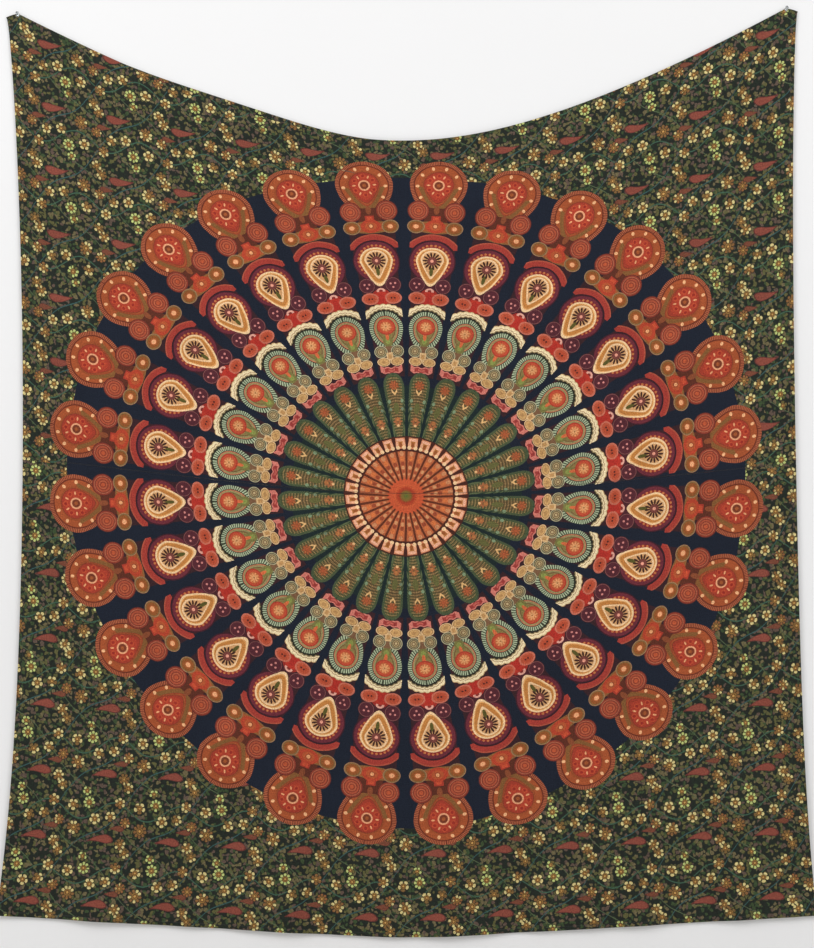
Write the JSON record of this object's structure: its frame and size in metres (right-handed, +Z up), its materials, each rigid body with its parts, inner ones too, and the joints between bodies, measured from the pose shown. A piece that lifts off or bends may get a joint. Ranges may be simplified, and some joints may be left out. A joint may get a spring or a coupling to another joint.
{
  "type": "tapestry wall hanging",
  "caption": "Large printed cotton tapestry, hemmed all round and seamed across the middle, hung by its top corners on clear push pins.",
  "frame": {"origin": "on the wall plane, midway between the points where the two push pins pierce the cloth", "axes": "+X to the viewer's right along the wall, +Y into the wall, +Z up; the cloth hangs below the origin on the -Y side"},
  "size_m": [2.106, 0.0233, 2.388],
  "materials": {
    "printed_cotton": "matt screen-printed plain-weave cotton",
    "cotton_reverse": "paler unprinted side of the cotton, where the print shows through",
    "sewing_thread": "dark spun polyester sewing thread",
    "clear_plastic": "clear moulded polystyrene",
    "needle_steel": "bright drawn steel wire"
  },
  "bodies": {
    "cloth": {"upper_panel": "printed_cotton", "lower_panel": "printed_cotton", "top_hem": "printed_cotton", "left_hem": "printed_cotton", "right_hem": "printed_cotton", "bottom_hem": "printed_cotton", "seam_allowance": "cotton_reverse", "top_hem_thread": "sewing_thread", "left_hem_thread": "sewing_thread", "right_hem_thread": "sewing_thread", "bottom_hem_thread": "sewing_thread", "seam_thread": "sewing_thread"},
    "pin_left": {"pin_left_head": "clear_plastic", "pin_left_needle": "needle_steel"},
    "pin_right": {"pin_right_head": "clear_plastic", "pin_right_needle": "needle_steel"}
  },
  "joints": [
    {"name": "pin_left_pull", "type": "slide", "parent": "cloth", "child": "pin_left", "axis": [0, -0.9397, 0.342], "range_m": [0, 0.016]},
    {"name": "pin_right_pull", "type": "slide", "parent": "cloth", "child": "pin_right", "axis": [0, -0.9397, 0.342], "range_m": [0, 0.016]}
  ]
}
